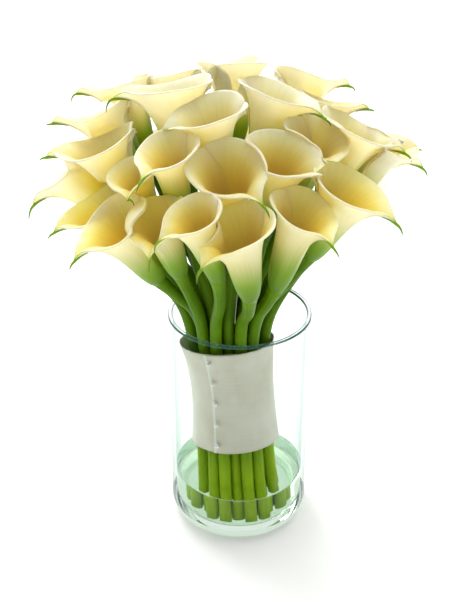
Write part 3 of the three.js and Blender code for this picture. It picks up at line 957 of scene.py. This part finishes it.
# Inside, the dark amber and gold deep in the throat are painted shade.
PETAL_INSIDE = petal_finish(
    "petal_inside",
    deep=(0.50, 0.32, 0.002),
    middle=(0.86, 0.71, 0.24),
    pale=(0.94, 0.87, 0.58),
    golden=(0.80, 0.60, 0.05),
    sunlit=(0.96, 0.92, 0.70),
    green_top=0.16,
)
PETAL_TAIL = tail_finish()
STEM_SKIN = stem_finish()
STEM_CUT = cut_finish()
SPADIX_SKIN = spadix_finish()
SATIN = satin_finish()
GLASS_WALL = wall_finish()
GLASS_FOOT = refracting_finish("vase_foot", 1.42, FOOT_TINT)
WATER = refracting_finish("water_clear", 1.333, WATER_TINT)
PEARL = pearl_finish()
STEEL = steel_finish()

# ---- the flowers --------------------------------------------------------------------------------


def petal_master():
    """A flat sheet whose columns crowd at the tip and whose rows crowd at the lip."""
    piece = begin(
        bpy.ops.mesh.primitive_grid_add,
        "petal_sheet",
        x_subdivisions=PETAL_COLUMNS,
        y_subdivisions=PETAL_ROWS,
        size=2,
    )
    piece.data.materials.append(PETAL_OUTSIDE)
    piece.data.materials.append(PETAL_INSIDE)
    flat = corners_of(piece)
    turn = np.sign(flat[:, 0]) * np.abs(flat[:, 0]) ** TIP_CROWDING
    row = 1 - (1 - (flat[:, 1] + 1) / 2) ** LIP_CROWDING
    set_uv(piece, (turn + 1) / 2, row)
    flesh = piece.vertex_groups.new(name="flesh")
    at_lip = 1 - EDGE_THINNING * row**3
    at_margins = 1 - EDGE_THINNING * np.abs(turn) ** 12
    weights = np.round(at_lip * at_margins, 3)
    for weight in sorted(set(weights)):
        flesh.add(np.flatnonzero(weights == weight).tolist(), weight, "REPLACE")
    return piece, turn, row


def tail_of(master, bloom, name):
    """The thin curled end of the petal, rooted in the narrow end of its sheet."""
    rows = np.linspace(TAIL_ROOT, LIP_START, TAIL_SEAT_RINGS)
    seat = petal_surface(bloom, np.zeros(TAIL_SEAT_RINGS), rows)
    ahead = unit(seat[-1] - seat[-2])
    bend = bloom.side * bloom.sway - np.array([0.0, 0.0, bloom.hook])
    free = np.linspace(0, 1, TAIL_RINGS + 2 - TAIL_SEAT_RINGS)[1:]
    along = (free - TAIL_SHORTENING * free**3)[:, None]
    aside = (TAIL_HANG * free**TAIL_BEND)[:, None]
    path = np.vstack([seat, seat[-1] + TAIL_LENGTH * bloom.size * (ahead * along + bend * aside)])
    swell = np.linspace(0.1, 1, TAIL_SEAT_RINGS) ** TAIL_TAPER
    taper = (1 - free) ** TAIL_TAPER
    radii = TAIL_RADIUS * bloom.size * np.concatenate([swell, taper]) + TAIL_POINT
    piece = copy_of(master, name)
    bend_tube(piece, path, radii)
    return piece


def crowding(places, bloom):
    """How closely the other blooms stand round each place."""
    total = np.zeros(len(places))
    for other in BLOOMS:
        if other is bloom:
            continue
        axis = other.mouth - other.base
        share = (places - other.base) @ axis / axis.dot(axis)
        share = np.clip(share, CROWD_AXIS_START, 1.0)
        apart = np.linalg.norm(places - other.base - share[:, None] * axis, axis=1)
        total += np.clip(1 - (apart - CROWD_NEAR) / CROWD_REACH, 0, 1) ** CROWD_CURVE
    return total


def mark_crowding(piece, bloom):
    """Keeps, for each corner, how crowded the space in front of it is."""
    normals = np.empty(len(piece.data.vertices) * 3)
    piece.data.vertices.foreach_get("normal", normals)
    ahead = corners_of(piece) / MM + normals.reshape(-1, 3) * CROWD_AHEAD
    # The petals' painted golden shade follows this crowding.
    mark = piece.data.attributes.new("crowd", "FLOAT", "POINT")
    mark.data.foreach_set("value", crowding(ahead, bloom))


def make_petal(sheet, turn, row, tail, bloom, name):
    """One petal, thinnest at its edges, with its tail."""
    piece = copy_of(sheet, name)
    place_corners(piece, petal_surface(bloom, turn, row))
    finish_modifier(
        piece,
        "SOLIDIFY",
        thickness=PETAL_THICKNESS * MM,
        offset=-1,
        material_offset=1,
        material_offset_rim=0,
        vertex_group="flesh",
        thickness_vertex_group=THINNEST,
    )
    smooth(piece)
    mark_crowding(piece, bloom)
    end = tail_of(tail, bloom, name + "_tail")
    smooth(end)
    take(piece)
    end.select_set(True)
    bpy.ops.object.join()
    piece.data.name = name
    return piece


def make_stem(master, bloom, name):
    """A stem that swells into the foot of its bloom."""
    piece = copy_of(master, name)
    shares = np.linspace(0, 1, STEM_RINGS + 1)
    shares[1] = CUT_BEVEL
    path = along_path(stem_path(bloom), shares)
    radii = STEM_RADIUS * (1 + STEM_WAVE * np.sin(shares * STEM_WAVES + bloom.phase))
    radii += NECK_SWELL * np.clip((shares - NECK_START) / NECK_SPAN, 0, 1) ** NECK_CURVE
    radii[0] = STEM_RADIUS * CUT_WIDTH
    bend_tube(piece, path, radii)
    smooth(piece, 50)
    return piece


def make_spadix(master, bloom, name):
    """The blunt finger inside a bloom, which leans a little towards its tip."""
    piece = copy_of(master, name)
    t = np.linspace(0, 1, SPADIX_RINGS + 1)
    length = SPADIX_LENGTH * bloom.size
    lean = bloom.to_tip * SPADIX_LEAN * bloom.size
    path = bloom.base + bloom.up * (SPADIX_FOOT + length * t[:, None]) + lean * t[:, None] ** 2
    taper = (t - SPADIX_WIDEST) ** 4 / (1 - SPADIX_WIDEST) ** 4
    radii = SPADIX_RADIUS * bloom.size * np.sqrt(np.clip(1 - taper, 0, 1))
    radii[-1] = SPADIX_RADIUS * SPADIX_POINT
    bend_tube(piece, path, radii)
    smooth(piece)
    return piece


def keep(piece, slot, *nodes):
    """The piece stands for these solids and moves with the vase."""
    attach(piece, "root")
    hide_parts(*nodes)


def make_flowers():
    sheet, turn, row = petal_master()
    tail = drawn_out("tail_rod", TAIL_SIDES, TAIL_RINGS)
    tail.data.materials.append(PETAL_TAIL)
    rod = drawn_out("stem_rod", STEM_SIDES, STEM_RINGS)
    rod.data.materials.append(STEM_SKIN)
    rod.data.materials.append(STEM_CUT)
    for face in rod.data.polygons:
        face.material_index = 1 if face.normal.z < -0.5 else 0
    finger = drawn_out("spadix_rod", SPADIX_SIDES, SPADIX_RINGS)
    finger.data.materials.append(SPADIX_SKIN)
    for i, bloom in enumerate(BLOOMS):
        number = f"{i + 1:02d}"
        node = "flower_" + number
        keep(make_petal(sheet, turn, row, tail, bloom, "petal_" + number), "petal", node)
        keep(make_stem(rod, bloom, "stem_" + number), "stem", node)
        keep(make_spadix(finger, bloom, "spadix_" + number), "spadix", node)
    for master in (sheet, tail, rod, finger):
        bpy.data.objects.remove(master)


# ---- vase, water, ribbon and pins ---------------------------------------------------------------


def round_inner_corner():
    bpy.ops.mesh.bevel(
        offset=VASE_INNER_CORNER * MM, segments=INNER_CORNER_STEPS, affect="EDGES"
    )


def make_vase():
    """A cylinder hollowed from its top, with a thick foot and rounded edges."""
    piece = begin(
        bpy.ops.mesh.primitive_cylinder_add,
        "glass_vase",
        vertices=GLASS_SIDES,
        radius=VASE_RADIUS * MM,
        depth=VASE_HEIGHT * MM,
        location=(0, 0, VASE_HEIGHT * MM / 2),
    )
    bpy.ops.object.transform_apply(location=True)
    select_faces(piece, lambda centre, normal: normal.z > 0.9)
    bpy.ops.mesh.inset(thickness=VASE_WALL * MM, depth=0)
    bpy.ops.mesh.extrude_region_move(
        TRANSFORM_OT_translate={"value": (0, 0, (VASE_FLOOR - VASE_HEIGHT) * MM)}
    )
    select_edges(piece, lambda place: place.z < MM)
    bpy.ops.mesh.bevel(offset=VASE_HEEL * MM, segments=HEEL_STEPS, affect="EDGES")
    inner = (VASE_RADIUS - VASE_WALL + 1) * MM

    def on_inner_floor(place):
        return abs(place.z - VASE_FLOOR * MM) < MM / 2 and place.to_2d().length < inner

    select_edges(piece, on_inner_floor)
    round_inner_corner()
    select_edges(piece, lambda place: place.z > (VASE_HEIGHT - 1) * MM)
    bpy.ops.mesh.bevel(offset=VASE_WALL * MM * RIM_ROUNDING, segments=RIM_STEPS, affect="EDGES")
    cut_across(
        VASE_HEEL + EDGE_SUPPORT,
        VASE_FLOOR + VASE_INNER_CORNER + EDGE_SUPPORT,
        VASE_HEIGHT - VASE_WALL,
    )
    middle = (VASE_RADIUS - VASE_HEEL) * MM
    select_faces(
        piece,
        lambda centre, normal: abs(normal.z) > 0.99 and centre.to_2d().length < middle / 2,
    )
    bpy.ops.mesh.inset(thickness=MM, depth=0)
    bpy.ops.object.mode_set(mode="OBJECT")
    piece.data.materials.append(GLASS_WALL)
    piece.data.materials.append(GLASS_FOOT)
    for face in piece.data.polygons:
        inside = face.center.to_2d().length < (VASE_RADIUS - VASE_WALL / 2) * MM
        top = VASE_FLOOR + VASE_INNER_CORNER if inside else VASE_HEEL
        face.material_index = 1 if face.center.z < top * MM else 0
    smooth(piece, 40)
    keep(piece, "glass", "vase")


def make_water():
    """Water up to a level, drawn up a little where it meets the glass."""
    radius = VASE_RADIUS - VASE_WALL + WATER_OVERLAP
    floor = VASE_FLOOR - WATER_OVERLAP
    depth = WATER_LEVEL + MENISCUS - floor
    piece = begin(
        bpy.ops.mesh.primitive_cylinder_add,
        "vase_water",
        vertices=GLASS_SIDES,
        radius=radius * MM,
        depth=depth * MM,
        location=(0, 0, (floor + depth / 2) * MM),
    )
    bpy.ops.object.transform_apply(location=True)
    select_edges(piece, lambda place: place.z < (floor + 1) * MM)
    round_inner_corner()
    select_faces(piece, lambda centre, normal: normal.z > 0.9)
    for inset, drop in MENISCUS_STEPS:
        bpy.ops.mesh.inset(thickness=inset * MM, depth=-drop * MENISCUS * MM)
    select_faces(piece, lambda centre, normal: normal.z < -0.9)
    bpy.ops.mesh.inset(thickness=MM, depth=0)
    cut_across(floor + VASE_INNER_CORNER + EDGE_SUPPORT, WATER_LEVEL - EDGE_SUPPORT)
    bpy.ops.object.mode_set(mode="OBJECT")
    piece.data.materials.append(WATER)
    smooth(piece, 60)
    keep(piece, "water", "water")


def ribbon_at(sweep, height, depth):
    """A place on the ribbon: sweep is in degrees from the inner end, height runs from -1 to 1 at
    the top edge, and depth is in millimetres outwards."""
    angle = np.radians(RIBBON_SEAM + 360 + RIBBON_LAP - sweep)
    flare = np.where(height > 0, RIBBON_FLARE_TOP, RIBBON_FLARE_FOOT) * height**2
    drift = RIBBON_DRIFT * np.maximum(0, height) ** 2
    radius = RIBBON_RADIUS + flare + RIBBON_STEP * sweep / 360 + depth
    return (
        WAIST
        + BUNCH_UP * (height * RIBBON_WIDTH / 2)[..., None]
        + BUNCH_RIGHT * (radius * np.cos(angle) - drift)[..., None]
        + BUNCH_BACK * (radius * np.sin(angle))[..., None]
    )


def make_ribbon():
    """The satin, wound once round the stems, with fine folds and a ridge over its inner end."""
    piece = begin(
        bpy.ops.mesh.primitive_grid_add,
        "satin_ribbon",
        x_subdivisions=RIBBON_COLUMNS,
        y_subdivisions=RIBBON_ROWS,
        size=2,
    )
    flat = corners_of(piece)
    sweep = (flat[:, 0] + 1) / 2 * (360 + RIBBON_LAP)
    height = flat[:, 1]
    angle = np.radians(sweep)

    def waves(depth, count, slant, start=0):
        return depth * np.sin(count * angle + slant * height + start)

    folds = waves(0.22, 7, 2.4, 0.6) * (1 - height**2)
    folds += waves(0.14, 13, -4.1) * (0.4 + 0.6 * np.abs(height))
    folds += waves(0.10, 3, 9)
    past_ridge = (sweep - RIDGE_TURN - RIDGE_SLANT * height) / RIDGE_WIDTH
    folds += RIDGE_HEIGHT * np.exp(-(past_ridge**2))
    place_corners(piece, ribbon_at(sweep, height, RIBBON_THICKNESS / 2 + folds))
    finish_modifier(piece, "SOLIDIFY", thickness=RIBBON_THICKNESS * MM, offset=0)
    finish_modifier(piece, "BEVEL", width=RIBBON_EDGE * MM, segments=2, limit_method="ANGLE")
    piece.data.materials.append(SATIN)
    smooth(piece, 60)
    keep(piece, "ribbon", "ribbon")
    return piece


def make_pins():
    """Pearl-headed pins down the ribbon's outer end. Their steel is drawn out from under a bead."""
    bead = begin(
        bpy.ops.mesh.primitive_uv_sphere_add, "pin_bead", segments=24, ring_count=16, radius=1
    )
    bead.data.materials.append(PEARL)
    bead.data.materials.append(STEEL)
    select_faces(bead, lambda centre, normal: normal.z < PIN_UNDERSIDE)
    bpy.ops.mesh.extrude_region_move(TRANSFORM_OT_translate={"value": (0, 0, -PIN_COLLAR)})
    bpy.ops.transform.resize(value=PIN_NARROWING)
    bpy.ops.mesh.extrude_region_move(TRANSFORM_OT_translate={"value": (0, 0, -PIN_SHANK)})
    bpy.ops.object.mode_set(mode="OBJECT")
    for face in bead.data.polygons:
        face.material_index = 1 if face.center.z < PIN_STEEL_TOP else 0
    raw = corners_of(bead)
    sweep = np.array([360.0 + RIBBON_LAP - PIN_INSET])
    for i in range(PIN_COUNT):
        height = np.array([(i - (PIN_COUNT - 1) / 2) * PIN_SPACING * 2 / RIBBON_WIDTH])
        seat = ribbon_at(sweep, height, PIN_SEAT)[0]
        out = unit(seat - ribbon_at(sweep, height, 0.0)[0])
        across = unit(np.cross(BUNCH_UP, out))
        axes = np.stack([across, np.cross(out, across), out])
        piece = copy_of(bead, f"pearl_pin_{i + 1}")
        place_corners(piece, seat + PIN_HEAD * raw @ axes)
        smooth(piece, 50)
        keep(piece, "pin", f"pin_{i + 1}")
    bpy.data.objects.remove(bead)


# ---- floor, light and camera --------------------------------------------------------------------

# Each lamp's name, place, size and power, in metres and watts.
LAMPS = (
    ("back_window", (-0.9, 1.4, 1.5), 1.2, 33),
    ("top_box", (0.3, 0.2, 1.8), 1.0, 11),
    ("front_fill", (0.8, -1.6, 1.2), 1.2, 0.5),
)
LAMP_TARGET = np.array([-0.01, 0.03, 0.25])
# The room's light, from in front of the bouquet to behind it.
ROOM_LIGHT = (("From Min", -1), ("From Max", 1), ("To Min", 0.32), ("To Max", 0.94))
LIGHT_BOUNCES = 64
CAMERA_PLACE = (0, -0.76237, 0.62344)
CAMERA_AHEAD = (-0.01413, 0.87873, -0.47711)
FOCAL_PIXELS = 1047
PICTURE_HEIGHT = 600
SENSOR_WIDTH = 36


def aim_at(direction):
    back = -unit(np.asarray(direction, float))
    right = unit(np.cross([0, 0, 1], back))
    return Matrix(np.stack([right, np.cross(back, right), back], 1).tolist()).to_euler()


def make_floor():
    floor = begin(bpy.ops.mesh.primitive_plane_add, "floor", size=14)
    finish = Finish("pale_floor", Roughness=0.9, Emission_Strength=0.27)
    finish.shader.inputs["Emission Color"].default_value = (1, 1, 1, 1)
    mottle = finish.noise(finish.place(), 3.0, 2.0)
    finish.use(Base_Color=finish.mix(mottle * 0.02, (0.93, 0.93, 0.93), (0.9, 0.9, 0.9)))
    floor.data.materials.append(finish.material)


def make_light():
    world = bpy.data.worlds.new("soft_room")
    world.use_nodes = True
    room = world.node_tree.nodes
    facing = room.new("ShaderNodeSeparateXYZ")
    fall = room.new("ShaderNodeMapRange")
    world.node_tree.links.new(room.new("ShaderNodeTexCoord").outputs["Generated"], facing.inputs[0])
    world.node_tree.links.new(facing.outputs["Y"], fall.inputs["Value"])
    world.node_tree.links.new(fall.outputs["Result"], room["Background"].inputs["Strength"])
    for socket, value in ROOM_LIGHT:
        fall.inputs[socket].default_value = value
    room["Background"].inputs["Color"].default_value = (1, 1, 1, 1)
    bpy.context.scene.world = world
    for name, place, size, power in LAMPS:
        lamp = bpy.data.lights.new(name, "AREA")
        lamp.size = size
        lamp.energy = power
        light = bpy.data.objects.new(name, lamp)
        bpy.context.scene.collection.objects.link(light)
        light.location = place
        light.rotation_euler = aim_at(LAMP_TARGET - np.array(place))


def make_camera():
    data = bpy.data.cameras.new("camera")
    data.sensor_width = SENSOR_WIDTH
    data.lens = data.sensor_width * FOCAL_PIXELS / PICTURE_HEIGHT
    camera = bpy.data.objects.new("camera", data)
    camera.location = CAMERA_PLACE
    camera.rotation_euler = aim_at(CAMERA_AHEAD)
    bpy.context.scene.collection.objects.link(camera)
    bpy.context.scene.camera = camera
    bpy.context.scene.view_settings.view_transform = "Standard"
    bpy.context.scene.cycles.max_bounces = LIGHT_BOUNCES
    bpy.context.scene.cycles.transmission_bounces = LIGHT_BOUNCES


make_camera()
ribbon = make_ribbon()
make_pins()
make_flowers()
make_vase()
make_water()
make_floor()
make_light()
